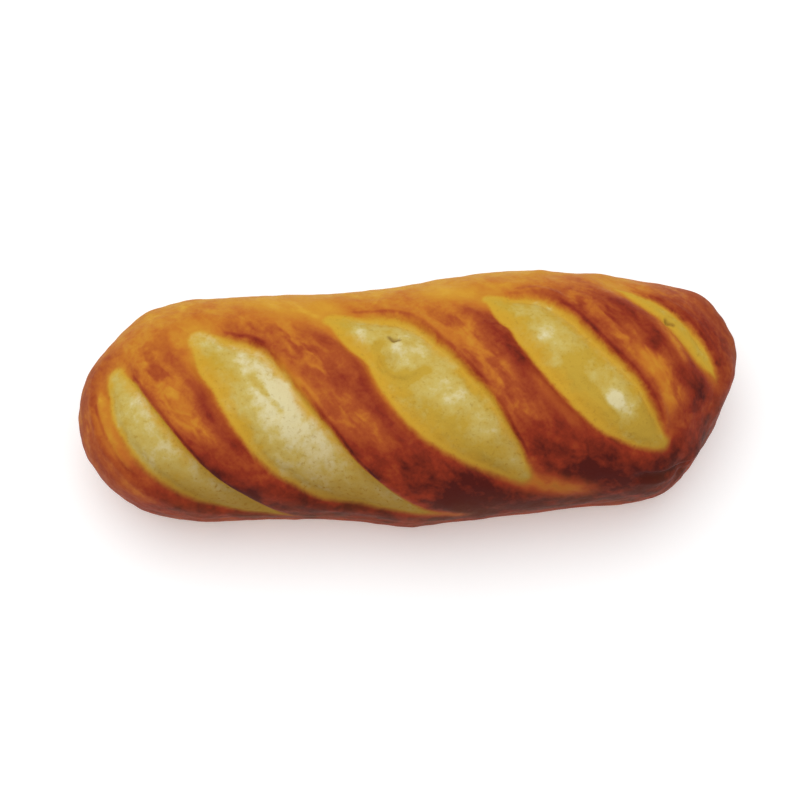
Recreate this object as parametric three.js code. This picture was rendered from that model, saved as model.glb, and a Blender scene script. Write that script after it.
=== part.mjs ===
// A short, plump baguette-style loaf, baked in one piece: domed crust, rounded ends, a row of slanting
// slashes that opened in the oven, and the flat sole that it was baked on.
// Millimetres, +Z up. X runs along the loaf, -Y is the front, and the origin is under the loaf's middle,
// on the surface that it rests on.
import * as THREE from "three";

// ---- the plain loaf ----
const LENGTH = 280;
const AXIS_HEIGHT = 30; // the widest line of the loaf, above the sole
const UNDERSIDE_DEPTH = 43; // how far the round underside would reach below that line; the oven floor cuts it
const LEFT_END = 54; // length of each rounded end
const RIGHT_END = 60;
const NOSE_SHIFT = 11; // how far the right end's nose leans to the back
const SHOULDER = 0.03; // fullness of the section's shoulders over a plain ellipse
const SIDE_POWER = 0.8; // below 1 makes the sides under the widest line stand steeper
const SOLE_ROUNDING = 3; // softness of the edge between side and sole

// Half-width, sideways drift and crown height at stations along the loaf.
const STATION_X = [-140, -90, -40, 0, 40, 90, 140];
const HALF_WIDTH = [47.5, 48.5, 48.5, 51, 53, 52, 51];
const DRIFT = [1, 1, 0, -2, 0, 0, 0];
const CROWN = [66, 67, 68, 70, 72, 71, 70];

// ---- the slashes ----
// Each runs over the crown from the back to the front. "turn" is the angle round the loaf in degrees,
// 0 on the crown and positive towards the front. "bow" bends the slash along X in its middle.
const SLASHES = [
  { from: { x: -121, turn: -24 }, to: { x: -54, turn: 92 }, bow: -14, width: 20 },
  { from: { x: -90, turn: -30 }, to: { x: 10, turn: 84 }, bow: -10, width: 29 },
  { from: { x: -30, turn: -42 }, to: { x: 54, turn: 66 }, bow: 0, width: 29 },
  { from: { x: 20, turn: -50 }, to: { x: 106, turn: 53 }, bow: 5, width: 27 },
  { from: { x: 88, turn: -42 }, to: { x: 125, turn: 26 }, bow: 6, width: 11 },
];
const OPENING_DEPTH = 5; // the crumb's edge, below the crust
const FULL_DEPTH_HALF_WIDTH = 9; // a slash narrower than this is shallower in proportion
const CRUMB_SWELL = 3; // the crumb's middle, above its edge
const OPEN_SIDE_SLOPE = 11; // width of the gentle slope down to the crumb
const EAR_SIDE_SLOPE = 8; // width of the steeper slope on the other side
const EAR_HEIGHT = 1; // the lifted lip of crust at the top of the steeper slope
const EAR_WIDTH = 8;
const PATH_STEPS = 80;

// ---- the mesh ----
const RINGS = 92;
const RING_POINTS = 52;
const TWIST = 0.17; // slant of the mesh's rings, so that they lie along the slashes

const HALF = LENGTH / 2;
const stationCurve = (values) =>
  new THREE.SplineCurve(STATION_X.map((x, i) => new THREE.Vector2(x, values[i])));
const widthCurve = stationCurve(HALF_WIDTH);
const driftCurve = stationCurve(DRIFT);
const crownCurve = stationCurve(CROWN);

// Value of a station curve at x.
function alongLoaf(curve, x) {
  const last = STATION_X.length - 1;
  const after = STATION_X.findIndex((station) => station >= x);
  const i = THREE.MathUtils.clamp(after < 0 ? last : after, 1, last);
  const share = (x - STATION_X[i - 1]) / (STATION_X[i] - STATION_X[i - 1]);
  return curve.getPoint((i - 1 + THREE.MathUtils.clamp(share, 0, 1)) / last).y;
}

// Place along X, and how much of its full section the loaf has there, for s from 0 at the left tip to 1
// at the right one. Each end is a quarter ellipse, and the stretch between them is straight.
function spine(s) {
  const arc = 1.45; // length of the quarter ellipse over the end's own length
  const left = LEFT_END * arc;
  const right = RIGHT_END * arc;
  const middle = LENGTH - LEFT_END - RIGHT_END;
  const run = s * (left + middle + right);
  if (run < left) {
    const angle = ((run / left) * Math.PI) / 2;
    return { x: -HALF + LEFT_END * (1 - Math.cos(angle)), share: Math.sin(angle) };
  }
  if (run > left + middle) {
    const angle = (((run - left - middle) / right) * Math.PI) / 2;
    return { x: HALF - RIGHT_END * (1 - Math.sin(angle)), share: Math.cos(angle) };
  }
  return { x: -HALF + LEFT_END + run - left, share: 1 };
}

// The end's share of the full section at a given x.
function shareAt(x) {
  const left = (-HALF + LEFT_END - x) / LEFT_END;
  const right = (x - HALF + RIGHT_END) / RIGHT_END;
  return Math.sqrt(Math.max(0, 1 - Math.max(0, left, right) ** 2));
}

// Height cut off by the oven floor: exactly 0 below it, with a rounded edge.
function onFloor(z) {
  if (z > SOLE_ROUNDING) return z;
  if (z < -SOLE_ROUNDING) return 0;
  return (z + SOLE_ROUNDING) ** 2 / (4 * SOLE_ROUNDING);
}

// A point of the plain loaf, before the slashes.
function plainPoint(x, share, turn) {
  const width = alongLoaf(widthCurve, x) * share;
  const lean = x > 0 ? NOSE_SHIFT * (1 - share) : 0;
  const sin = Math.sin(turn);
  const cos = Math.cos(turn);
  const full = 1 + SHOULDER * Math.sin(2 * turn) ** 2;
  const above = cos >= 0;
  const side = above ? sin * full : Math.sign(sin) * Math.abs(sin) ** SIDE_POWER;
  const rise = above ? (alongLoaf(crownCurve, x) - AXIS_HEIGHT) * full : UNDERSIDE_DEPTH;
  return new THREE.Vector3(
    x,
    alongLoaf(driftCurve, x) + lean - side * width,
    onFloor(AXIS_HEIGHT + rise * share * cos),
  );
}

// Direction away from the core line that runs through the loaf between its rounded ends.
function outward(point) {
  const coreX = THREE.MathUtils.clamp(point.x, -HALF + LEFT_END, HALF - RIGHT_END);
  const core = new THREE.Vector3(coreX, alongLoaf(driftCurve, coreX), AXIS_HEIGHT);
  return point.clone().sub(core).normalize();
}

// A slash's middle line on the plain loaf, as points with their half-width.
function slashPath({ from, to, bow, width }) {
  return Array.from({ length: PATH_STEPS + 1 }, (_, i) => {
    const t = i / PATH_STEPS;
    const x = THREE.MathUtils.lerp(from.x, to.x, t) + 4 * bow * t * (1 - t);
    const turn = THREE.MathUtils.degToRad(THREE.MathUtils.lerp(from.turn, to.turn, t));
    const half = (width / 2) * Math.sin(Math.PI * t) ** 0.75;
    return { at: plainPoint(x, shareAt(x), turn), half };
  });
}

// How far a point is from a slash's middle line, negative on its open side and positive on the side with
// the ear, and the slash's half-width beside it.
function across(point, normal, path) {
  const stretch = new THREE.Line3();
  const foot = new THREE.Vector3();
  const nearest = { distance: Infinity };
  for (let i = 0; i < PATH_STEPS; i++) {
    stretch.set(path[i].at, path[i + 1].at);
    const share = stretch.closestPointToPointParameter(point, true);
    const gap = point.clone().sub(stretch.at(share, foot));
    const distance = gap.length();
    if (distance < nearest.distance) {
      const side = stretch.delta(new THREE.Vector3()).cross(gap).dot(normal);
      nearest.distance = distance;
      nearest.offset = Math.sign(side) * distance;
      nearest.half = THREE.MathUtils.lerp(path[i].half, path[i + 1].half, share);
    }
  }
  return nearest;
}

const smooth = THREE.MathUtils.smoothstep;
const bell = (offset, width) => Math.exp(-((offset / (width / 2)) ** 2));

// Height of the crust's relief at a point: the slash's sunken crumb, swollen in its middle, and its ear.
function slashRelief(point, normal, path) {
  const { offset, half } = across(point, normal, path);
  if (half < 0.01) return 0;
  const openness = Math.min(1, half / FULL_DEPTH_HALF_WIDTH);
  const openSide = smooth(offset, -half - OPEN_SIDE_SLOPE / 2, -half + OPEN_SIDE_SLOPE / 2);
  const earSide = 1 - smooth(offset, half - EAR_SIDE_SLOPE, half + 1);
  const swell = CRUMB_SWELL * Math.max(0, 1 - (offset / half) ** 2);
  const ear = EAR_HEIGHT * bell(offset - half - EAR_WIDTH / 3, EAR_WIDTH);
  return openness * (openSide * earSide * (swell - OPENING_DEPTH) + ear);
}

// Where a ring of the mesh crosses this turn, for s from tip to tip: rings lean along the slashes on top,
// swing back down the sides, and cross the sole straight.
function twisted(s, turn) {
  const sway = Math.sin(turn) - Math.sin(3 * turn) / 9;
  const side = 1 - smooth(Math.abs(turn), Math.PI * 0.42, Math.PI * 0.76);
  return s + TWIST * Math.sin(Math.PI * s) * sway * side;
}

// The whole loaf: a sphere's grid of points, drawn out along X, shaped, and centred over the origin.
function loafGeometry() {
  const geometry = new THREE.SphereGeometry(1, RING_POINTS, RINGS).rotateZ(-Math.PI / 2);
  const paths = SLASHES.map(slashPath);
  const places = geometry.getAttribute("position");
  for (let i = 0; i < places.count; i++) {
    const s = Math.acos(THREE.MathUtils.clamp(-places.getX(i), -1, 1)) / Math.PI;
    const turn = Math.atan2(-places.getY(i), places.getZ(i));
    const { x, share } = spine(twisted(s, turn));
    const point = plainPoint(x, share, turn);
    if (point.z > 0 && share > 0.01) {
      const normal = outward(point);
      const relief = paths.reduce((sum, path) => sum + slashRelief(point, normal, path), 0);
      point.addScaledVector(normal, relief);
    }
    places.setXYZ(i, point.x, point.y, Math.max(0, point.z));
  }
  geometry.computeBoundingBox();
  geometry.translate(0, -(geometry.boundingBox.min.y + geometry.boundingBox.max.y) / 2, 0);
  geometry.computeVertexNormals();
  return geometry;
}

const crust = new THREE.MeshStandardMaterial({ color: 0xb5652a, roughness: 0.6, metalness: 0 });

const loaf = new THREE.Mesh(loafGeometry(), crust);
loaf.name = "loaf";

const baguette = new THREE.Group();
baguette.add(loaf);

export default baguette;
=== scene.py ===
"""A short, plump loaf of bread with slanting slashes, and the plain studio that it is shown in."""

import math

import bmesh
import bpy
import numpy as np
from mathutils import Matrix, Vector, noise


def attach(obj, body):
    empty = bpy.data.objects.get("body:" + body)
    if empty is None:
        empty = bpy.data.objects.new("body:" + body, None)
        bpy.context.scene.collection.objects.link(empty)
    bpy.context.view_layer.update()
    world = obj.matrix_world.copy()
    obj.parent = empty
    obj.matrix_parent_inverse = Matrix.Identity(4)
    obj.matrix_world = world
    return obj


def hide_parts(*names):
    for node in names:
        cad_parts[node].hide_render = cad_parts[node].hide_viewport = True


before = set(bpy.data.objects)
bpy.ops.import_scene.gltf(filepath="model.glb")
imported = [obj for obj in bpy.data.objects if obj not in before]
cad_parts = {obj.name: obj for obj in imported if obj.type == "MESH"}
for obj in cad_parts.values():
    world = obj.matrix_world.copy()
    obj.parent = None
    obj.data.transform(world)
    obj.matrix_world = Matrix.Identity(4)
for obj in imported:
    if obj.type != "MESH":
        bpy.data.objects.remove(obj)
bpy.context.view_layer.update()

bl_info = {
    "name": "Slashed loaf",
    "version": (1, 0, 0),
    "blender": (4, 5, 0),
    "location": "View3D > Sidebar > Bakery",
    "description": "Shapes and colours a slashed loaf of bread, and sets a plain studio around it",
    "category": "Add Mesh",
}

MM = 0.001

# ---- the plain loaf, in millimetres, as the frame has it ----
LENGTH = 280
HALF = LENGTH / 2
AXIS_HEIGHT = 30  # the widest line of the loaf, above the sole
UNDERSIDE_DEPTH = 43  # how far the round underside would reach below that line
LEFT_END = 54  # length of each rounded end
RIGHT_END = 60
NOSE_SHIFT = 11  # how far the right end's nose leans to the back
SHOULDER = 0.03  # fullness of the section's shoulders over a plain ellipse
SIDE_POWER = 0.8  # below 1 makes the sides under the widest line stand steeper
SOLE_ROUNDING = 3  # softness of the edge between side and sole
END_ARC = 1.45  # length of a rounded end's curve, over the end's own length

# Half-width, sideways drift and crown height at stations along the loaf.
STATION_X = [-140, -90, -40, 0, 40, 90, 140]
HALF_WIDTH = [47.5, 48.5, 48.5, 51, 53, 52, 51]
DRIFT = [1, 1, 0, -2, 0, 0, 0]
CROWN = [66, 67, 68, 70, 72, 71, 70]

# ---- the slashes ----
# Each slash's stations run from the back over the crown to the front: x, turn round the loaf in degrees
# (0 on the crown, positive towards the front), and half-width. "golden" is how golden its crumb baked,
# "open_band" the width of the golden band along its open side, and "open_fade" how softly that side
# passes into the crust. The opposite side has the lifted lip.
SLASHES = [
    {
        "stations": [
            (-121.5, -15, 5.5), (-119.5, 0, 9), (-115.5, 15, 11), (-104, 36, 10.8), (-88.5, 56, 9),
            (-72, 73, 6), (-50, 94, 0),
        ],
        "golden": 0.5,
        "open_band": 4,
        "open_fade": 0.3,
    },
    {
        "stations": [
            (-84.5, -23, 6), (-77, -14, 11.3), (-67.7, -3.5, 14.5), (-56.4, 20, 15.9),
            (-45.1, 38, 15.3), (-27, 58, 11), (9, 80, 0),
        ],
        "golden": 0.4,
        "open_band": 6.8,
        "open_fade": 0.2,
    },
    {
        "stations": [
            (-30, -32, 4.5), (-18.8, -25, 10), (-6, -16, 14.3), (6, 5, 17), (20.3, 25, 16),
            (34.5, 43, 10), (43, 54, 4.5),
        ],
        "golden": 0.7,
        "open_band": 7.6,
        "open_fade": 0.5,
    },
    {
        "stations": [
            (35, -34, 3.5), (42.8, -28, 8), (53.4, -20, 12.4), (67.5, 2, 14), (82.7, 22, 13.9),
            (94.1, 37, 9.2), (102, 47, 3.5),
        ],
        "golden": 0.8,
        "open_band": 8,
        "open_fade": 0.2,
    },
    {
        "stations": [
            (89, -42, 1.5), (99.5, -33, 4), (111, -22, 4.8), (119.5, -10, 5), (124.8, 2, 4.4),
            (128, 12, 3), (130, 21, 1),
        ],
        "golden": 1.1,
        "open_band": 7,
        "open_fade": 2.4,
    },
]
EAR_BAND = 4.5  # width of the golden band along the lifted side
OPEN_SLOPE = (3, 4)  # the gentle slope down to the crumb: how far outside and inside its edge it runs
EAR_SLOPE = (0.8, 2.6)  # the steep slope opposite
FULL_DEPTH_HALF_WIDTH = 9  # a slash narrower than this is shallower in proportion
PILLOW_POWER = 0.8  # below 1 makes the swollen crumb flatter on top and steeper at its edges
GROOVE = (0.2, 2, 0.5)  # the groove under the lip: place inside the edge, width and depth
LIP = (2.6, 4.5)  # the lifted lip: place outside the edge, and width
BROW = (5, 5, 0.5)  # the rounded brow of crust on the open side: place outside the edge, width, height
EDGE_WAVER = 0.5  # how far the edge between crust and crumb wanders
PATH_STEPS = 96  # straight stretches that a slash's middle line is followed with
LINE_STEPS = 24  # the same for a shorter line
LINE_REACH = 20.0  # nothing farther than this from a short line feels it
FAR = 40.0  # the distance given to a point before any slash is looked at

# ---- the crust's and the crumb's relief ----
# Creases where the skin folded: depth, width, and stations of x and turn.
CREASES = [
    (1.9, 5.0, [(126, 88), (116, 78), (107, 71), (97, 65), (86, 60)]),
    (0.7, 2.6, [(-130, -16), (-130, 6), (-127, 26), (-120, 44), (-110, 58)]),
    (0.3, 2.6, [(92, -46), (104, -36), (115, -26), (122, -12), (127, 4)]),
]

# Swellings and hollows of the whole loaf: x, turn, reach, and height.
SWELLS = [
    (-88, 98, 38, -3.4), (-30, 98, 26, -1.6), (58, 100, 34, -2.3), (88, 98, 12, -1.0),
    (12, 100, 12, -0.8), (100, -64, 26, -4.4), (126, -58, 9, 2.2), (122, 66, 8, -1.0),
    (60, -74, 30, -1.2), (-5, -74, 24, -0.6), (130, 48, 30, -6.0), (119, 72, 8, 2.0),
    (112, 82, 4.5, -2.6), (104, 98, 14, 1.0), (74, 98, 20, -1.2), (109, 70, 5, -1.0),
    (-122, -60, 26, -1.8), (-108, -66, 8, 1.0), (-136, 20, 26, -1.1), (64, -54, 5, -0.8),
    (92, -50, 6, -0.8), (137, -25, 5, 0.8), (139, 0, 5, 0.6), (137, 30, 5, 0.8), (131, 56, 5, 1.0),
    (133, -42, 5, 0.9), (84, -60, 5, 0.8), (60, -58, 5, 0.7), (-5, 106, 12, 1.2),
    (138, 10, 16, 1.6), (134, 34, 12, 2.0), (120, 92, 8, -1.6),
]

# Small lumps and pits of the crumb: x, turn, reach, and height.
CRUMB_LUMPS = [
    (-5, -19, 1.5, -2.2), (-2, -14, 3.2, 1.5), (-8, -7, 3.6, -1.9), (-13, -11, 2.4, 0.9),
    (2, -7, 2.8, 0.7), (7, 0, 3.6, -0.7), (5, 8, 5.0, 0.8), (-19, -22, 4.5, 0.7),
    (20, 13, 5.0, 0.5), (110, -19.5, 1.5, -1.5), (82, 21, 6.0, 0.7), (56, -12, 5.0, 0.5),
    (-62, 10, 6.0, 0.6), (-48, 28, 7.0, 0.5), (30, 36, 5.0, 0.5), (-112, 10, 5.0, 0.4),
    (-98, 42, 5.0, 0.4), (70, 8, 5.0, 0.5), (95, 34, 4.0, 0.4),
]

CREASE_BANKS = (3, 3, 0.3)  # the low banks beside a crease: place, width, and share of its depth
CREASE_SHADE = 2.6  # a crease this wide is shaded just as widely
CREASE_END_FADE = 8  # how fast the shade goes at a crease's ends
CURL_DEPTH = 0.9  # depth of a full curl
CURL_GROOVE = 1.4  # width of a curl's groove, over the curl's own width
CURL_GOLD = 2  # width of its golden colour, in the same way
RIDGE_RISE = 9  # distance from a slash over which the crust's ridge rises
TOPSIDE = (22, 48)  # heights between which the side passes into the top, where the ridges are
SIDE_STRETCH = (0.4, 1, 1.4)  # draws the sides' unevenness out along the loaf
OFF_FLOOR = 12  # height over which the relief comes in above the sole

# ---- how it baked, and the painted light and shade round it ----
# The crust's brown round the loaf, from 0 for golden to 1 for almost black: turn and darkness. It is
# baked
# brown and also painted light and shade: lighter towards the back, which faces the lamp, and darker over
# the front, which faces away from it.
BAKED_AND_SHADED_ROUND = [
    (-180, 0.3), (-104, 0.32), (-66, 0.18), (-55, 0.2), (-44, 0.29), (-33, 0.42), (-20, 0.53), (0, 0.57),
    (20, 0.61), (33, 0.7), (44, 0.78), (66, 0.9), (86, 0.94), (98, 0.84), (120, 0.58), (180, 0.45),
]
# How the crumb and the golden skin darken towards the front, toasted there and in painted shade: turn
# and amount.
TOAST_AND_SHADE_ROUND = [
    (-60, 0), (-30, 0), (0, 0), (20, 0.08), (33, 0.28), (44, 0.5), (55, 0.76), (66, 0.92), (90, 1),
]
LEFT_END_BAKED = (0.57, -105, -135)  # the brown that the end tends to, and where it starts and is full
RIGHT_END_BAKED = (0.75, 85, 130)
END_PULL = 0.75  # how far the end's own brown takes over
DULL_SIDE = (26, 54)  # heights between which the sides' duller brown goes over into the top's
SOLE_EDGE = 8  # height up to which the sole's colour reaches
GILT_AT_ENDS = 0.4  # share of the golden skin that is left at the ends of its line
RIDGE_BACK = (-42, -24)  # turns over which the ridges' own browning comes in behind the crown
RIDGE_FRONT = (16, 44)  # and goes again in front
RIDGE_CONTRAST = 0.22  # how much darker a ridge of crust baked on its way to the next slash
RIDGE_MIDDLE = 0.42
BETWEEN_NO_SLASHES = 0.4

# Places that baked darker (above 0) or stayed lighter: x, turn, reach, amount.
BAKED = [
    (-118, 62, 16, -0.12), (-108, -25, 24, -0.03), (-101, -2, 5, 0.1), (-92, -8, 9, -0.12),
    (-92, 14, 8, -0.10), (-92, 78, 20, -0.12), (-84, 6, 4, 0.14), (-60, -20, 12, 0.10),
    (-25, -4, 8, -0.07), (-20, 33, 7, 0.10), (-8, 60, 8, -0.06), (2, 46, 8, 0.08),
    (0, 70, 8, -0.16), (18, 62, 16, 0.14), (46, 72, 12, 0.08), (56, 38, 10, 0.12),
    (66, -34, 16, 0.10), (84, -30, 12, 0.2), (78, -50, 10, 0.08), (94, -26, 5, 0.12),
    (74, 56, 10, 0.16), (101, -5, 4.5, 0.24), (80, -12, 7, 0.08), (-33, -12, 6, -0.12),
    (104, 38, 7, -0.20), (100, 68, 14, 0.10), (122, 80, 16, 0.16), (112, -33, 9, 0.06),
    (128, 5, 12, 0.06), (58, -5, 5, 0.12), (-96, 40, 6, 0.14), (-86, 52, 9, 0.10),
    (116, 12, 6, 0.12), (84, 58, 10, 0.08), (122, 30, 6, 0.12),
]

# Bands that baked darker or lighter along a line: amount, width, and stations of x and turn.
BAKED_BANDS = [
    (-0.12, 4.6, [(-44, -4), (-32, 10), (-18, 24), (-4, 36)]),
    (-0.13, 5.0, [(-100, -6), (-92, 14), (-80, 34)]),
    (-0.05, 3.6, [(88, -10), (97, 4), (103, 18), (104, 32)]),
    (0.16, 6.0, [(-98, 34), (-88, 44), (-76, 58), (-62, 72)]),
    (-0.10, 3.0, [(-78, 30), (-66, 46), (-52, 60)]),
    (-0.12, 2.0, [(-122, 54), (-114, 64), (-104, 72)]),
    (0.08, 4.0, [(28, -22), (44, -2), (56, 12)]),
    (0.12, 4.0, [(-56, -24), (-36, -6), (-24, 8)]),
]

# Small holes in the crumb, painted dark as the shade inside them, each along a line: stations of x and
# turn.
HOLES = [
    [(-7, -20), (-5, -19), (-3, -18)],
    [(109, -21), (110.5, -19.5), (112, -18)],
]

# Golden skin round the slashes' upper ends and beside them: amount, width, and stations of x and turn.
GILT = [
    (0.60, 8.0, [(-98, -24), (-90, -26), (-82, -30)]),
    (0.62, 5.6, [(-90, -20), (-83, -8), (-77, 4)]),
    (0.70, 9.0, [(-62, -48), (-48, -44), (-36, -38), (-26, -32)]),
    (0.60, 4.5, [(-30, -28), (-20, -16), (-10, -4)]),
    (0.60, 7.0, [(6, -50), (20, -44), (32, -36)]),
    (0.45, 9.0, [(-70, -66), (-20, -66), (30, -66), (70, -62)]),
    (0.70, 2.6, [(-128.5, -14), (-128, 8), (-125, 28), (-118, 44)]),
    (0.32, 3.0, [(78, -52), (90, -44), (100, -35)]),
    (0.5, 3.6, [(93, -4), (99, 6), (104, 18), (106, 30)]),
    (0.50, 3.0, [(106, -16), (112, -4), (116, 8)]),
    (0.62, 4.2, [(42, 57), (54, 61), (70, 68)]),
    (0.45, 2.4, [(2, 78), (12, 80), (20, 82)]),
    (0.35, 3.0, [(2, -33), (11, -24), (20, -10)]),
    (0.45, 2.6, [(-54, -12), (-45, 2), (-37, 14)]),
    (0.35, 3.0, [(-30, -20), (-20, -10), (-12, 6), (-5, 22)]),
    (0.30, 2.6, [(48, 4), (58, 20), (68, 32)]),
    (0.30, 2.6, [(-92, -14), (-84, 0), (-76, 16), (-66, 30)]),
]

# Golden curls of the crumb: amount, width, and stations of x and turn.
CURLS = [
    (1.2, 1.5, [(-9, -20), (-13, -14), (-11, -6), (-7, 1), (1, 2), (7, -4)]),
    (0.25, 1.6, [(18, -2), (26, 12), (33, 26)]),
    (0.5, 1.8, [(-66, -6), (-58, 8), (-50, 20)]),
    (0.5, 1.6, [(66, 6), (76, 20), (84, 32)]),
]

# Paler (below 0) or more golden places in the crumb: x, turn, reach, amount. The palest two, at 82, 21
# in the fourth slash and at -4, -14 on the raised rim by the hole in the third, are painted highlights.
CRUMB_PLACES = [
    (82, 21, 4.6, -1.3), (56, -12, 5, -0.7), (-4, -14, 3.6, -0.7), (7, -1, 3, 0.4),
    (5, 8, 5, -0.32), (-19, -22, 5, -0.5), (-52, 14, 12, -0.42), (22, 2, 7, 0.2), (92, 16, 6, 0.3),
    (96, 32, 7, 0.5), (70, 0, 8, 0.3), (14, 14, 5, -0.35), (26, 30, 4, -0.35), (76, 14, 4, -0.2),
    (88, 28, 3, -0.4), (60, 0, 3.4, -0.35), (-13, -12, 3, -0.3), (20, 13, 4, -0.3),
    (-78, -14, 6, 0.35), (-28, -30, 10, 0.35), (38, -30, 10, 0.2), (30, 38, 10, 0.3),
    (98, 38, 9, 0.25), (62, -4, 4, -0.3), (74, 10, 3.4, -0.35), (90, 22, 3, -0.3),
    (48, -24, 4, -0.25), (34, 30, 5, -0.2), (-2, -7, 3.2, -0.6), (4, -12, 3, -0.4),
    (-18, -20, 4, -0.3), (-70, 24, 5, 0.5), (-62, 34, 5, 0.4), (32, 10, 5, 0.6), (62, 12, 5, 0.5),
    (71, 22, 5, 0.5), (38, 22, 5, 0.3), (-20, 62, 9, 0.3), (-6, 70, 8, 0.3), (-60, 84, 12, 0.3),
]

# ---- the mesh, a sphere's rings and points before it is shaped ----
RING_POINTS = 216
RINGS = 448
CROWN_PACKING = 0.38  # how much closer the points lie on the crown than on the sole
TWIST = 0.15  # slant of the rings over the crown, so that they lie along the slashes
POINTS_AT_ONCE = 4000  # how many points are measured against a line together, to save memory

# ---- the finish ----
SLASH_SLANT = -50  # how the streaks lie, in degrees
STREAK_STRETCH = 2.4  # how much longer than wide they are
BUMP_STRENGTH = 0.6
BUMP_HEIGHT = 0.5  # in millimetres
CRUST_ROUGHNESS = 0.6
CRUMB_ROUGHNESS = 0.85
SHINE = 0.08  # bread hardly shines

# ---- the stage, in metres and degrees ----
FLOOR_REACH = 3  # from its middle to each side
FLOOR_ROUGHNESS = 0.9
FLOOR_GLOW = 0.2  # keeps the floor white away from the lamp
KEY_SIZE = 1.4  # width of the large round lamp
KEY_PLACE = (-0.1, 0.2, 1.15)
KEY_TARGET = (0, 0, 0.03)
CAMERA_TARGET = (-0.0036, 0.0003, 0.033)
CAMERA_DISTANCE = 0.8455
CAMERA_AZIMUTH = -4.1
CAMERA_ELEVATION = 70
LENS = 90  # focal length and sensor width, in millimetres
SENSOR_WIDTH = 36


class LoafSizes(bpy.types.PropertyGroup):
    """Sizes of the loaf's relief."""

    opening: bpy.props.FloatProperty(
        name="Opening",
        description="Depth of the crumb's edge below the crust",
        default=4.5 * MM,
        subtype="DISTANCE",
        unit="LENGTH",
    )
    swell: bpy.props.FloatProperty(
        name="Swell",
        description="Height of the crumb's middle above its edge",
        default=3.5 * MM,
        subtype="DISTANCE",
        unit="LENGTH",
    )
    lip: bpy.props.FloatProperty(
        name="Lip",
        description="Height of the crust's lifted lip along one side of each slash",
        default=1.1 * MM,
        subtype="DISTANCE",
        unit="LENGTH",
    )
    ridge: bpy.props.FloatProperty(
        name="Ridge",
        description="Height of the rounded ridges of crust between the slashes",
        default=1.3 * MM,
        subtype="DISTANCE",
        unit="LENGTH",
    )
    lumps: bpy.props.FloatProperty(
        name="Lumps",
        description="Height of the crust's broad uneven lumps",
        default=0.7 * MM,
        subtype="DISTANCE",
        unit="LENGTH",
    )


def srgb(red, green, blue):
    """A colour given in steps of 0 to 255, as linear light."""
    steps = [red / 255, green / 255, blue / 255]
    return tuple(c / 12.92 if c < 0.04045 else ((c + 0.055) / 1.055) ** 2.4 for c in steps)


class LoafColours(bpy.types.PropertyGroup):
    """Colours of the baked crust and of the crumb."""

    golden_crust: bpy.props.FloatVectorProperty(
        name="Golden crust",
        description="Skin that hardly browned, round the slashes' upper ends",
        default=srgb(214, 164, 52),
        subtype="COLOR",
    )
    # The golden skin over the front, toasted there and in painted shade; also the sole's darker patches.
    toasted_and_shaded_crust: bpy.props.FloatVectorProperty(
        name="Toasted crust",
        description="The same skin low on the front",
        default=srgb(156, 88, 34),
        subtype="COLOR",
    )
    amber_crust: bpy.props.FloatVectorProperty(
        name="Amber crust",
        description="The lightest brown of the crust, along its back",
        default=srgb(202, 140, 42),
        subtype="COLOR",
    )
    orange_crust: bpy.props.FloatVectorProperty(
        name="Orange crust",
        description="Lighter streaks over the crown",
        default=srgb(190, 110, 36),
        subtype="COLOR",
    )
    russet_crust: bpy.props.FloatVectorProperty(
        name="Russet crust",
        description="The crust's most common brown",
        default=srgb(166, 77, 33),
        subtype="COLOR",
    )
    chestnut_crust: bpy.props.FloatVectorProperty(
        name="Chestnut crust",
        description="Darker brown beside the slashes and towards the front",
        default=srgb(139, 47, 25),
        subtype="COLOR",
    )
    dark_crust: bpy.props.FloatVectorProperty(
        name="Dark crust",
        description="The darkest baked patches",
        default=srgb(78, 22, 16),
        subtype="COLOR",
    )
    side_crust: bpy.props.FloatVectorProperty(
        name="Side crust",
        description="The duller brown of the sides and ends",
        default=srgb(132, 86, 32),
        subtype="COLOR",
    )
    sole_crust: bpy.props.FloatVectorProperty(
        name="Sole crust",
        description="The paler brown underneath, where the loaf stood in the oven",
        default=srgb(178, 116, 60),
        subtype="COLOR",
    )
    pale_crumb: bpy.props.FloatVectorProperty(
        name="Pale crumb",
        description="The crumb where it stayed palest",
        default=srgb(218, 206, 158),
        subtype="COLOR",
    )
    straw_crumb: bpy.props.FloatVectorProperty(
        name="Straw crumb",
        description="The crumb's middle colour",
        default=srgb(200, 178, 98),
        subtype="COLOR",
    )
    yellow_crumb: bpy.props.FloatVectorProperty(
        name="Yellow crumb",
        description="The crumb where it coloured in the oven",
        default=srgb(191, 157, 57),
        subtype="COLOR",
    )
    golden_edge: bpy.props.FloatVectorProperty(
        name="Golden edge",
        description="The crumb's band next to the crust",
        default=srgb(205, 159, 48),
        subtype="COLOR",
    )
    amber_edge: bpy.props.FloatVectorProperty(
        name="Amber edge",
        description="The thin line where crumb meets crust",
        default=srgb(190, 106, 32),
        subtype="COLOR",
    )
    # The holes' dark colour is painted shade inside them.
    hole: bpy.props.FloatVectorProperty(
        name="Hole",
        description="The small dark holes in the crumb",
        default=srgb(122, 84, 36),
        subtype="COLOR",
    )
    # The crumb over the front, toasted there and in painted shade; also its darker pores.
    toasted_and_shaded_crumb: bpy.props.FloatVectorProperty(
        name="Toasted crumb",
        description="The crumb low on the front",
        default=srgb(144, 106, 40),
        subtype="COLOR",
    )


class StageSettings(bpy.types.PropertyGroup):
    """The studio around the loaf."""

    floor: bpy.props.FloatVectorProperty(
        name="Floor",
        description="Colour of the floor",
        default=(0.96, 0.96, 0.96),
        subtype="COLOR",
        size=3,
    )
    key_power: bpy.props.FloatProperty(
        name="Key light",
        description="Power of the large soft light above and behind the loaf",
        default=7.7,
        unit="POWER",
    )
    sky: bpy.props.FloatProperty(
        name="Fill",
        description="Brightness of the even light from all around",
        default=0.62,
    )


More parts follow.
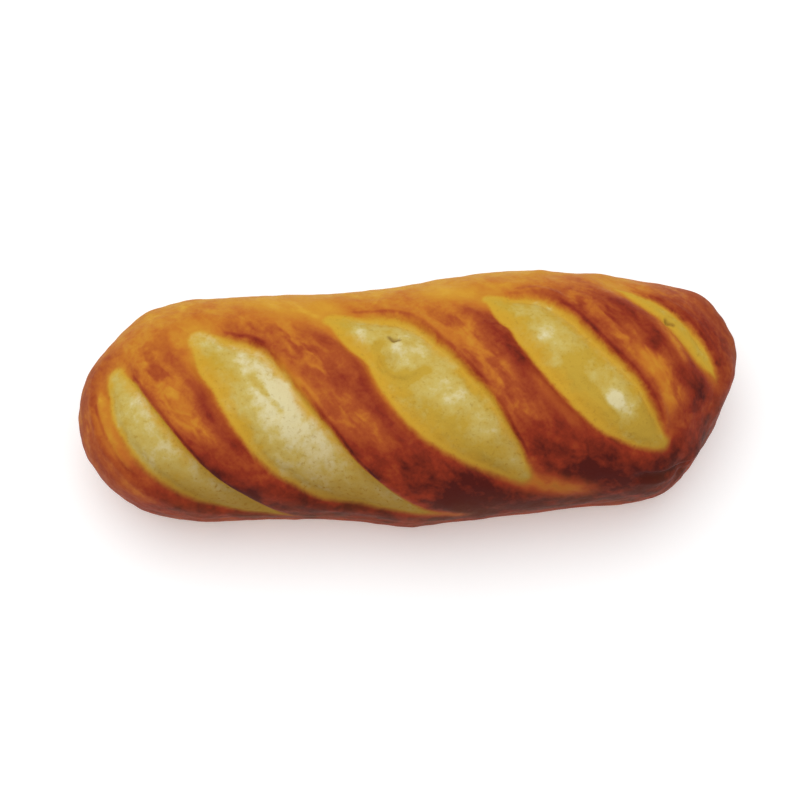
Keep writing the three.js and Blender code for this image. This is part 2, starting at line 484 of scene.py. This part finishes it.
# ---- shaping ----
def along(stations, values, x):
    """A smooth curve through values at the stations, read at every x."""
    stations = np.array(stations, float)
    values = np.array(values, float)
    slope = np.gradient(values, stations)
    i = np.clip(np.searchsorted(stations, x) - 1, 0, len(stations) - 2)
    step = stations[i + 1] - stations[i]
    t = np.clip((x - stations[i]) / step, 0, 1)
    return (
        (2 * t**3 - 3 * t**2 + 1) * values[i]
        + (t**3 - 2 * t**2 + t) * step * slope[i]
        + (3 * t**2 - 2 * t**3) * values[i + 1]
        + (t**3 - t**2) * step * slope[i + 1]
    )


def smooth(value, low, high):
    """0 below low, 1 above high, eased in between."""
    t = np.clip((value - low) / (high - low), 0, 1)
    return t * t * (3 - 2 * t)


def bell(value, width):
    """1 where the value is 0, falling off evenly on both sides."""
    return np.exp(-((value / (width / 2)) ** 2))


def spine(s):
    """Place along X, and share of the full section there, for s from 0 at the left tip to 1 at the
    right one."""
    left, right = LEFT_END * END_ARC, RIGHT_END * END_ARC
    middle = LENGTH - LEFT_END - RIGHT_END
    run = s * (left + middle + right)
    left_angle = np.clip(run / left, 0, 1) * math.pi / 2
    right_angle = np.clip((run - left - middle) / right, 0, 1) * math.pi / 2
    x = (
        -HALF
        + LEFT_END * (1 - np.cos(left_angle))
        + np.clip(run - left, 0, middle)
        + RIGHT_END * np.sin(right_angle)
    )
    return x, np.sin(left_angle) * np.cos(right_angle)


def share_at(x):
    """Share of the full section at a given x."""
    over = np.maximum((-HALF + LEFT_END - x) / LEFT_END, (x - HALF + RIGHT_END) / RIGHT_END)
    return np.sqrt(np.clip(1 - np.maximum(over, 0) ** 2, 0, 1))


def plain_loaf(x, share, turn):
    """Points of the loaf before its relief, for turn in radians."""
    width = along(STATION_X, HALF_WIDTH, x) * share
    lean = np.where(x > 0, NOSE_SHIFT * (1 - share), 0)
    full = 1 + SHOULDER * np.sin(2 * turn) ** 2
    above = np.cos(turn) >= 0
    sine = np.sin(turn)
    side = np.where(above, sine * full, np.sign(sine) * np.abs(sine) ** SIDE_POWER)
    rise = np.where(above, (along(STATION_X, CROWN, x) - AXIS_HEIGHT) * full, UNDERSIDE_DEPTH)
    z = AXIS_HEIGHT + rise * share * np.cos(turn)
    soft = (z + SOLE_ROUNDING) ** 2 / (4 * SOLE_ROUNDING)
    z = np.where(z > SOLE_ROUNDING, z, np.where(z < -SOLE_ROUNDING, 0, soft))
    return np.stack([x, along(STATION_X, DRIFT, x) + lean - side * width, z], -1)


def outward(points):
    """Directions away from the core line that runs inside the loaf between its rounded ends."""
    core_x = np.clip(points[:, 0], -HALF + LEFT_END, HALF - RIGHT_END)
    core = np.stack([core_x, along(STATION_X, DRIFT, core_x), np.full_like(core_x, AXIS_HEIGHT)], -1)
    away = points - core
    return away / np.linalg.norm(away, axis=1, keepdims=True)


def path_over(stations, steps=PATH_STEPS):
    """A line laid over the plain loaf through stations of x and turn, and its other values alongside."""
    stations = np.array(stations, float)
    run = np.linspace(0, 1, len(stations))
    t = np.linspace(0, 1, steps + 1)
    x, turn, *others = (along(run, column, t) for column in stations.T)
    return plain_loaf(x, share_at(x), np.radians(turn)), others


def across(points, away, path):
    """Distance of each point from a path, and how far along the path from 0 to 1 the nearest place is.

    The distance is above 0 on the side with the lifted lip, and below 0 on the open side."""
    offset = np.empty(len(points))
    run = np.empty(len(points))
    start, stretch = path[:-1], np.diff(path, axis=0)
    length2 = (stretch**2).sum(1)
    for low in range(0, len(points), POINTS_AT_ONCE):
        part = slice(low, low + POINTS_AT_ONCE)
        gap = points[part, None, :] - start[None]
        share = np.clip((gap * stretch).sum(2) / length2, 0, 1)
        gap -= share[:, :, None] * stretch
        distance = np.linalg.norm(gap, axis=2)
        nearest = distance.argmin(1)
        row = np.arange(len(nearest))
        side = (np.cross(stretch[nearest], gap[row, nearest]) * away[part]).sum(1)
        offset[part] = np.sign(side) * distance[row, nearest]
        run[part] = (nearest + share[row, nearest]) / len(stretch)
    return offset, run


def nearness(points, place, reach):
    """1 at a place of x and turn on the plain loaf, fading to nothing beyond its reach."""
    x, turn = (np.array([value], float) for value in place)
    centre = plain_loaf(x, share_at(x), np.radians(turn))
    return np.exp(-((np.linalg.norm(points - centre, axis=1) / reach) ** 2))


def lumpiness(points, size, seed):
    """Smooth noise with lumps of about this size, from -1 to 1."""
    shift = Vector((seed * 7.3, seed * 3.1, seed * 5.7))
    return np.array([noise.noise(Vector(p) / size + shift) for p in points])


def along_line(points, away, stations):
    """Distance of each point from a short line over the plain loaf, and a strength that fades towards
    the line's ends."""
    path, _ = path_over(stations, LINE_STEPS)
    near = np.all((points > path.min(0) - LINE_REACH) & (points < path.max(0) + LINE_REACH), axis=1)
    offset = np.full(len(points), LINE_REACH)
    run = np.zeros(len(points))
    offset[near], run[near] = across(points[near], away[near], path)
    return offset, smooth(run, 0, 0.2) * (1 - smooth(run, 0.8, 1))


def sphere_to_loaf(ball):
    """Points of the plain loaf for a unit sphere's points, and the turn of each in degrees."""
    s = np.arccos(np.clip(-ball[:, 0], -1, 1)) / math.pi
    around = np.arctan2(-ball[:, 1], ball[:, 2])
    turn = around - CROWN_PACKING * np.sin(around)
    on_side = smooth(np.abs(turn), 0.42 * math.pi, 0.76 * math.pi)
    sway = (np.sin(turn) - np.sin(3 * turn) / 9) * (1 - on_side)
    x, share = spine(s + TWIST * np.sin(math.pi * s) * sway)
    return plain_loaf(x, share, turn), np.degrees(turn)


def slash_relief(offset, run, half, waver, sizes):
    """Height of one slash: the sunken crumb, swollen in its middle, with a groove and a lip on one side
    and a rounded brow on the other."""
    openness = np.clip(half / FULL_DEPTH_HALF_WIDTH, 0, 1)
    openness = openness * smooth(run, 0, 0.14) * (1 - smooth(run, 0.92, 1))
    sunk = smooth(offset, -half - OPEN_SLOPE[0], -half + OPEN_SLOPE[1])
    sunk = sunk * (1 - smooth(offset, half - EAR_SLOPE[1], half + EAR_SLOPE[0]))
    pillow = np.clip(1 - (offset / np.maximum(half, 0.1)) ** 2, 0, 1) ** PILLOW_POWER
    lifted = smooth(run, 0.06, 0.3) * (1 + 0.7 * waver)
    groove_place, groove_width, groove_depth = GROOVE
    lip_place, lip_width = LIP
    brow_place, brow_width, brow_height = BROW
    return openness * (
        sunk * (sizes.swell * pillow - sizes.opening) / MM
        - groove_depth * bell(offset - half + groove_place, groove_width)
        + sizes.lip / MM * lifted * bell(offset - half - lip_place, lip_width)
        + brow_height * bell(offset + half + brow_place, brow_width)
    )


def open_slashes(points, away, sizes):
    """Relief of all the slashes, the marks that they leave for the finish, and each point's distances
    from the slash whose lip it lies beyond and from the slash whose open side it lies before."""
    waver = lumpiness(points, size=17, seed=4)
    relief = np.zeros(len(points))
    marks = {
        "cut": np.full(len(points), FAR),
        "side": np.zeros(len(points)),
        "fade": np.ones(len(points)),
        "golden": np.zeros(len(points)),
        "band": np.ones(len(points)),
    }
    past_lip = np.full(len(points), FAR)
    before_opening = np.full(len(points), FAR)
    for slash in SLASHES:
        path, (half_width,) = path_over(slash["stations"])
        offset, run = across(points, away, path)
        half = np.interp(run, np.linspace(0, 1, len(half_width)), np.maximum(half_width, 0))
        gap = np.abs(offset) - half + EDGE_WAVER * waver
        leaning = np.tanh(offset / 3) * smooth(run, 0, 0.08)
        open_side = (1 - leaning) / 2
        ends = 1.8 * (1 - smooth(run, 0, 0.1)) + 0.8 * smooth(run, 0.8, 1)
        here = {
            "cut": gap,
            "side": leaning,
            "fade": 1 + ends + open_side * slash["open_fade"],
            "golden": slash["golden"] - 0.15 * leaning,
            "band": EAR_BAND + open_side * (slash["open_band"] - EAR_BAND),
        }
        nearer = gap < marks["cut"]
        marks = {name: np.where(nearer, here[name], values) for name, values in marks.items()}
        past_lip = np.where(offset > 0, np.minimum(past_lip, gap), past_lip)
        before_opening = np.where(offset < 0, np.minimum(before_opening, gap), before_opening)
        relief += slash_relief(offset, run, half, waver, sizes)
    return relief, marks, past_lip, before_opening


def fold_skin(points, away):
    """Relief of the creases, and how far each point is from the nearest one, for the painted shade in
    them.
    """
    relief = np.zeros(len(points))
    fold = np.full(len(points), FAR)
    bank_place, bank_width, bank_share = CREASE_BANKS
    for depth, width, stations in CREASES:
        offset, strength = along_line(points, away, stations)
        gap = np.abs(offset)
        fold = np.minimum(fold, gap * CREASE_SHADE / width + CREASE_END_FADE * (1 - strength))
        relief -= strength * depth * bell(offset, width)
        relief += strength * depth * bank_share * bell(gap - bank_place, bank_width)
    return relief, fold


def curl_crumb(points, away):
    """Relief of the crumb's curls, and how golden they are."""
    relief = np.zeros(len(points))
    golden = np.zeros(len(points))
    for amount, width, stations in CURLS:
        offset, strength = along_line(points, away, stations)
        golden += amount * strength * bell(offset, CURL_GOLD * width)
        relief -= CURL_DEPTH * amount * strength * bell(offset, CURL_GROOVE * width)
    return relief, golden


def fine_relief(points, cut, topside, sizes):
    """Relief of the crust's lumps, the crumb's grain, and the slight unevenness of the sides."""
    broad = lumpiness(points, size=26, seed=1) + 0.5 * lumpiness(points, size=11, seed=2)
    crumb = 0.45 * lumpiness(points, size=7, seed=6) + 0.3 * lumpiness(points, size=3, seed=7)
    in_crumb = 1 - smooth(cut, -2.5, 0)
    long_folds = lumpiness(points * SIDE_STRETCH, size=6, seed=8)
    return (
        sizes.lumps / MM * broad
        + 0.22 * lumpiness(points, size=4.5, seed=3)
        + in_crumb * crumb
        + (1 - topside) * 0.4 * long_folds
    )


def brown_crust(points, away, degrees, past_lip, before_opening):
    """How dark the crust is at each point, baked brown with painted light and shade round the loaf, and
    how flecked it is.
    """
    bake = along(*zip(*BAKED_AND_SHADED_ROUND), degrees)
    for end_bake, start, full in (RIGHT_END_BAKED, LEFT_END_BAKED):
        bake += smooth(points[:, 0], start, full) * (end_bake - bake) * END_PULL
    between_slashes = (past_lip < FAR - 1) & (before_opening < FAR - 1)
    past_lip, before_opening = np.clip(past_lip, 0, None), np.clip(before_opening, 0, None)
    over = past_lip / (past_lip + before_opening + 0.1)
    crown = smooth(degrees, *RIDGE_BACK) * (1 - smooth(degrees, *RIDGE_FRONT))
    # Darkest towards the next slash, and a little darker again beside the lip.
    ridge = smooth(over, 0.38, 0.8) + 0.45 * (1 - smooth(over, 0.05, 0.3))
    ridge = np.where(between_slashes, ridge, BETWEEN_NO_SLASHES) * crown
    bake += RIDGE_CONTRAST * (ridge - RIDGE_MIDDLE * crown)
    for *place, reach, amount in BAKED:
        bake += amount * nearness(points, place, reach)
    for amount, width, stations in BAKED_BANDS:
        offset, strength = along_line(points, away, stations)
        bake += amount * strength * bell(offset, 2 * width)
    return bake, np.clip(1 - ridge, 0, 1) * crown


def gild(points, away):
    """How much golden skin lies over the crust at each point."""
    gilt = np.zeros(len(points))
    for amount, width, stations in GILT:
        offset, strength = along_line(points, away, stations)
        strength = GILT_AT_ENDS + (1 - GILT_AT_ENDS) * strength
        gilt = np.maximum(gilt, amount * strength * bell(offset, 2 * width))
    return gilt


def shape_loaf(mesh, sizes):
    """Moves a unit sphere's vertices to the loaf, and leaves on each what its finish needs to know."""
    ball = np.empty(len(mesh.vertices) * 3)
    mesh.vertices.foreach_get("co", ball)
    points, degrees = sphere_to_loaf(ball.reshape(-1, 3))
    away = outward(points)
    topside = smooth(points[:, 2], *TOPSIDE)

    relief, marks, past_lip, before_opening = open_slashes(points, away, sizes)
    creases, fold = fold_skin(points, away)
    curls, golden_curls = curl_crumb(points, away)
    relief += sizes.ridge / MM * smooth(marks["cut"], 0, RIDGE_RISE) * topside + creases + curls
    for *place, reach, height in SWELLS + CRUMB_LUMPS:
        relief += height * nearness(points, place, reach)
    relief += fine_relief(points, marks["cut"], topside, sizes)
    shaped = points + away * (relief * smooth(points[:, 2], 0, OFF_FLOOR))[:, None]
    shaped[:, 2] = np.maximum(shaped[:, 2], 0)
    mesh.vertices.foreach_set("co", (shaped * MM).ravel())

    bake, flecks = brown_crust(points, away, degrees, past_lip, before_opening)
    golden = marks["golden"] + golden_curls
    # The crumb's paler places include painted highlights.
    for *place, reach, amount in CRUMB_PLACES:
        golden += amount * nearness(points, place, reach)
    hole = np.min([np.abs(along_line(points, away, stations)[0]) for stations in HOLES], axis=0)
    for name, values in {
        "cut": marks["cut"],
        "side": marks["side"],
        "fade": marks["fade"],
        "bake": bake,
        "flecks": flecks,
        "gilt": gild(points, away),
        "toast": along(*zip(*TOAST_AND_SHADE_ROUND), degrees),
        "golden": golden,
        "band": marks["band"],
        "hole": hole,
        "fold": fold,
        "low": 1 - smooth(shaped[:, 2], *DULL_SIDE),
        "sole": 1 - smooth(shaped[:, 2], 0, SOLE_EDGE),
    }.items():
        attribute = mesh.attributes.new(name, "FLOAT", "POINT")
        attribute.data.foreach_set("value", values.astype(np.float32))


# ---- finishes ----
class Wire:
    """A shader socket that arithmetic can be written with."""

    def __init__(self, finish, socket):
        self.finish = finish
        self.socket = socket

    def maths(self, operation, *values):
        return self.finish.node("ShaderNodeMath", {"operation": operation}, dict(enumerate(values)))

    def __add__(self, other):
        return self.maths("ADD", self, other)

    def __sub__(self, other):
        return self.maths("SUBTRACT", self, other)

    def __mul__(self, other):
        return self.maths("MULTIPLY", self, other)

    def __truediv__(self, other):
        return self.maths("DIVIDE", self, other)

    def __radd__(self, other):
        return self.maths("ADD", other, self)

    def __rsub__(self, other):
        return self.maths("SUBTRACT", other, self)

    def __rmul__(self, other):
        return self.maths("MULTIPLY", other, self)

    def swing(self, amount):
        """A noise's swing to both sides of its middle, times this amount."""
        return (self - 0.5) * amount

    def between(self, low, high):
        """0 at low, 1 at high, eased."""
        return self.finish.node(
            "ShaderNodeMapRange",
            {"interpolation_type": "SMOOTHSTEP"},
            {"Value": self, "From Min": low, "From Max": high},
        )

    def bump_at(self, centre, width):
        """1 at the centre, falling to 0 half a width away on both sides."""
        gap = self.maths("ABSOLUTE", self - centre)
        return 1 - gap.between(0.0, width / 2)


class Finish:
    """One material's shader, built node by node."""

    def __init__(self, name):
        self.material = bpy.data.materials.new(name)
        self.material.use_nodes = True
        self.tree = self.material.node_tree
        self.tree.nodes.clear()

    def node(self, kind, settings=None, sockets=None, output=0):
        """A new node: its settings first, then the values or links of its sockets."""
        made = self.tree.nodes.new(kind)
        for name, value in (settings or {}).items():
            if name == "stops":
                ramp = made.color_ramp
                while len(ramp.elements) < len(value):
                    ramp.elements.new(0.5)
                for element, (position, colour) in zip(ramp.elements, value):
                    element.position = position
                    element.color = (*colour, 1)
            else:
                setattr(made, name, value)
        for name, value in (sockets or {}).items():
            if isinstance(value, Wire):
                self.tree.links.new(value.socket, made.inputs[name])
            elif isinstance(value, tuple) and made.inputs[name].type == "RGBA":
                made.inputs[name].default_value = (*value[:3], 1)
            else:
                made.inputs[name].default_value = value
        return Wire(self, made.outputs[output]) if made.outputs else None

    def attribute(self, name):
        return self.node("ShaderNodeAttribute", {"attribute_name": name}, output="Fac")

    def noise(self, place, scale, detail=3.0, roughness=0.5, distortion=0.0):
        return self.node(
            "ShaderNodeTexNoise",
            {},
            {
                "Vector": place,
                "Scale": scale,
                "Detail": detail,
                "Roughness": roughness,
                "Distortion": distortion,
            },
        )

    def blend(self, factor, first, second):
        return self.node(
            "ShaderNodeMix",
            {"data_type": "RGBA", "clamp_factor": True},
            {0: factor, 6: first, 7: second},
            output=2,
        )

    def ramp(self, factor, stops):
        return self.node("ShaderNodeValToRGB", {"stops": stops}, {"Fac": factor})


class Noises:
    """The noises that the loaf's finish is mixed from, each between 0 and 1 with its middle at 0.5."""

    def __init__(self, finish):
        place = finish.node("ShaderNodeTexCoord", output="Object")
        slant = (0.0, 0.0, math.radians(SLASH_SLANT))
        along_slashes = finish.node(
            "ShaderNodeMapping",
            {"vector_type": "TEXTURE"},
            {"Vector": place, "Rotation": slant, "Scale": (STREAK_STRETCH, 1.0, 1.0)},
        )
        self.broad = finish.noise(place, 48.0, 2.0)
        self.mottle = finish.noise(place, 150.0, 4.0, 0.6, 0.6)
        self.streak = finish.noise(along_slashes, 240.0, 3.0, 0.5)
        self.patch = finish.noise(along_slashes, 150.0, 2.0, 0.5, 0.3)
        self.grain = finish.noise(place, 620.0, 3.0, 0.6)
        self.fine = finish.noise(place, 1900.0, 2.0, 0.5)
        self.blotch = finish.noise(place, 230.0, 2.5, 0.5)


def crust_colour(finish, colours, noises, cut, toast):
    """The crust, from golden skin to dark brown, duller down its sides, with painted shade over the
    front, by the lips and in the creases.
    """
    broad, mottle, streak, patch = noises.broad, noises.mottle, noises.streak, noises.patch
    ear_side = finish.attribute("side").between(-0.5, 0.5)
    fade = finish.attribute("fade")
    # Painted shade just outside each slash's lifted lip, where the lip overhangs the crumb.
    lip_shade = cut.bump_at(1.5, 2.4) * ear_side * broad.between(0.35, 0.55)
    # The crust's darkness: baked brown with painted light and shade round the loaf, painted shade by the
    # lips, and painted shade in the creases.
    dark = (
        finish.attribute("bake")
        + broad.swing(0.25)
        + mottle.swing(0.4)
        + streak.swing(0.28)
        + patch.swing(0.4)
        + noises.grain.swing(0.16)
        + (0.5 - patch.between(0.4, 0.6)) * finish.attribute("flecks") * 0.32
        + cut.bump_at(3.5, 9.0) * 0.02
        + lip_shade * (1 - fade.between(1.1, 1.9)) * 0.14
        # painted shade in the creases
        + finish.attribute("fold").bump_at(0.0, 2.0) * 0.2
    )
    gilt = finish.attribute("gilt") * (0.9 + mottle.swing(1.6) + streak.swing(1.6))
    halo = (1 - cut.between(0.0, fade * 2.5)) * (fade - 0.8) * (mottle - 0.2) * 0.36
    crust = finish.ramp(
        dark * (1 - gilt) * (1 - halo),
        [
            (0.0, tuple(colours.golden_crust)),
            (0.18, tuple(colours.amber_crust)),
            (0.38, tuple(colours.orange_crust)),
            (0.56, tuple(colours.russet_crust)),
            (0.76, tuple(colours.chestnut_crust)),
            (1.0, tuple(colours.dark_crust)),
        ],
    )
    # The golden skin goes darker over the front, toasted there and in painted shade.
    crust = finish.blend(gilt * toast * 1.3, crust, tuple(colours.toasted_and_shaded_crust))
    low = finish.attribute("low") * (1 - toast * 0.72) * (0.5 + mottle.swing(0.9) + broad.swing(1.4))
    return finish.blend(low, crust, tuple(colours.side_crust))


def crumb_colour(finish, colours, noises, cut, toast):
    """The crumb, from pale to yellow, with its golden band and thin amber edge next to the crust,
    painted highlights and painted shade over the front.
    """
    broad, mottle, grain, blotch = noises.broad, noises.mottle, noises.grain, noises.blotch
    crumb = finish.ramp(
        finish.attribute("golden") + blotch.swing(0.95) + grain.swing(0.4) + broad.swing(1.0),
        [
            (0.05, tuple(colours.pale_crumb)),
            (0.45, tuple(colours.straw_crumb)),
            (0.95, tuple(colours.yellow_crumb)),
        ],
    )
    band = finish.attribute("band") * (1 - toast * 0.45) * (1 + broad.swing(2.2) + blotch.swing(1.4))
    crumb = finish.blend((cut / band).between(-1.3, -0.1) * 0.95, crumb, tuple(colours.golden_edge))
    at_edge = cut.between(-1.9, 0.6) * (0.15 + mottle * 1.1)
    crumb = finish.blend(at_edge, crumb, tuple(colours.amber_edge))
    # Darker pores, and painted shade over the front.
    pores_and_shade = grain.between(0.54, 0.78) * 0.3 + toast * 0.85
    return finish.blend(pores_and_shade, crumb, tuple(colours.toasted_and_shaded_crumb))


def crust_and_crumb(colours):
    """Baked crust, with the pale crumb that shows in the slashes."""
    finish = Finish("crust_and_crumb")
    noises = Noises(finish)
    mottle, grain = noises.mottle, noises.grain
    cut = finish.attribute("cut") + mottle.swing(1.3) + grain.swing(0.4)
    fade = finish.attribute("fade")
    toast = finish.attribute("toast")
    crumb = 1 - cut.between(fade * -1, fade)
    colour = finish.blend(
        crumb,
        crust_colour(finish, colours, noises, cut, toast),
        crumb_colour(finish, colours, noises, cut, toast),
    )
    # Painted shade inside the crumb's small holes.
    hole = finish.attribute("hole").bump_at(0.0, 3.2) * 0.7
    colour = finish.blend(hole, colour, tuple(colours.hole))
    sole = finish.attribute("sole")
    sole = sole.between(0.1, 0.9) + mottle.swing(1.2) * sole.bump_at(0.5, 1.0)
    sole_crust = finish.ramp(
        noises.broad * 0.5 + noises.blotch * 0.15 + grain * 0.25 + noises.fine * 0.1,
        [(0.36, tuple(colours.sole_crust)), (0.62, tuple(colours.toasted_and_shaded_crust))],
    )
    colour = finish.blend(sole * 0.9, colour, sole_crust)

    unevenness = mottle * 0.5 + noises.streak * 0.4 + grain * 0.6 + noises.fine * 0.15
    normal = finish.node(
        "ShaderNodeBump",
        {},
        {
            "Strength": BUMP_STRENGTH,
            "Distance": BUMP_HEIGHT * MM,
            "Height": unevenness * (0.6 + crumb * 0.8),
        },
    )
    roughness = CRUST_ROUGHNESS + grain.swing(0.25) + crumb * (CRUMB_ROUGHNESS - CRUST_ROUGHNESS)
    shader = finish.node(
        "ShaderNodeBsdfPrincipled",
        {},
        {
            "Base Color": colour,
            "Roughness": roughness,
            "Normal": normal,
            "Specular IOR Level": SHINE,
        },
    )
    finish.node("ShaderNodeOutputMaterial", {}, {"Surface": shader})
    return finish.material


def plain_finish(name, colour, roughness, glow):
    """One even colour that also glows a little."""
    finish = Finish(name)
    shader = finish.node(
        "ShaderNodeBsdfPrincipled",
        {},
        {
            "Base Color": tuple(colour),
            "Roughness": roughness,
            "Emission Color": tuple(colour),
            "Emission Strength": glow,
        },
    )
    finish.node("ShaderNodeOutputMaterial", {}, {"Surface": shader})
    return finish.material


# ---- pieces ----
def finished_object(name, bm, material):
    """An object at the origin with this mesh and material."""
    mesh = bpy.data.meshes.new(name)
    bm.to_mesh(mesh)
    bm.free()
    mesh.materials.append(material)
    made = bpy.data.objects.new(name, mesh)
    bpy.context.scene.collection.objects.link(made)
    return made


class BAKERY_OT_loaf(bpy.types.Operator):
    """Shape the loaf and give it its crust"""

    bl_idname = "bakery.loaf"
    bl_label = "Loaf"

    def execute(self, context):
        bm = bmesh.new()
        bmesh.ops.create_uvsphere(bm, u_segments=RING_POINTS, v_segments=RINGS, radius=1)
        bmesh.ops.rotate(bm, verts=bm.verts, matrix=Matrix.Rotation(math.radians(90), 3, "Y"))
        for face in bm.faces:
            face.smooth = True
        loaf = finished_object("baked_loaf", bm, crust_and_crumb(context.scene.loaf_colours))
        shape_loaf(loaf.data, context.scene.loaf_sizes)
        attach(loaf, "root")
        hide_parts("loaf")
        return {"FINISHED"}


class BAKERY_OT_stage(bpy.types.Operator):
    """Set the pale floor, the soft lights and the camera"""

    bl_idname = "bakery.stage"
    bl_label = "Stage"

    def execute(self, context):
        settings = context.scene.stage_settings
        bm = bmesh.new()
        bmesh.ops.create_grid(bm, x_segments=1, y_segments=1, size=FLOOR_REACH)
        pale_floor = plain_finish("pale_floor", settings.floor, FLOOR_ROUGHNESS, FLOOR_GLOW)
        floor = finished_object("floor", bm, pale_floor)

        world = bpy.data.worlds.new("even_light")
        world.use_nodes = True
        background = world.node_tree.nodes["Background"]
        background.inputs["Color"].default_value = (1, 1, 1, 1)
        background.inputs["Strength"].default_value = settings.sky
        context.scene.world = world

        key = bpy.data.lights.new("key", "AREA")
        key.shape = "DISK"
        key.size = KEY_SIZE
        key.energy = settings.key_power
        lamp = bpy.data.objects.new("key", key)
        lamp.location = KEY_PLACE
        ray = Vector(KEY_TARGET) - lamp.location
        lamp.rotation_euler = ray.to_track_quat("-Z", "Y").to_euler()
        context.scene.collection.objects.link(lamp)

        lens = bpy.data.cameras.new("camera")
        lens.lens = LENS
        lens.sensor_width = SENSOR_WIDTH
        camera = bpy.data.objects.new("camera", lens)
        azimuth, elevation = math.radians(CAMERA_AZIMUTH), math.radians(CAMERA_ELEVATION)
        back = Vector((
            math.sin(azimuth) * math.cos(elevation),
            -math.cos(azimuth) * math.cos(elevation),
            math.sin(elevation),
        ))
        camera.location = Vector(CAMERA_TARGET) + back * CAMERA_DISTANCE
        camera.rotation_euler = back.to_track_quat("Z", "Y").to_euler()
        context.scene.collection.objects.link(camera)
        context.scene.camera = camera
        context.scene.view_settings.view_transform = "Standard"
        return {"FINISHED"}


class BAKERY_PT_panel(bpy.types.Panel):
    """Lists the loaf's pieces and the stage"""

    bl_label = "Slashed loaf"
    bl_idname = "BAKERY_PT_panel"
    bl_space_type = "VIEW_3D"
    bl_region_type = "UI"
    bl_category = "Bakery"

    def draw(self, context):
        scene = context.scene
        for settings in (scene.loaf_sizes, scene.loaf_colours, scene.stage_settings):
            column = self.layout.column()
            for name in settings.bl_rna.properties.keys():
                if name not in {"rna_type", "name"}:
                    column.prop(settings, name)
        self.layout.operator(BAKERY_OT_loaf.bl_idname)
        self.layout.operator(BAKERY_OT_stage.bl_idname)


CLASSES = (
    LoafSizes,
    LoafColours,
    StageSettings,
    BAKERY_OT_loaf,
    BAKERY_OT_stage,
    BAKERY_PT_panel,
)


def register():
    for cls in CLASSES:
        bpy.utils.register_class(cls)
    bpy.types.Scene.loaf_sizes = bpy.props.PointerProperty(type=LoafSizes)
    bpy.types.Scene.loaf_colours = bpy.props.PointerProperty(type=LoafColours)
    bpy.types.Scene.stage_settings = bpy.props.PointerProperty(type=StageSettings)


def unregister():
    del bpy.types.Scene.stage_settings
    del bpy.types.Scene.loaf_colours
    del bpy.types.Scene.loaf_sizes
    for cls in reversed(CLASSES):
        bpy.utils.unregister_class(cls)


def main():
    register()
    bpy.ops.bakery.stage()
    bpy.ops.bakery.loaf()


if __name__ == "__main__":
    main()
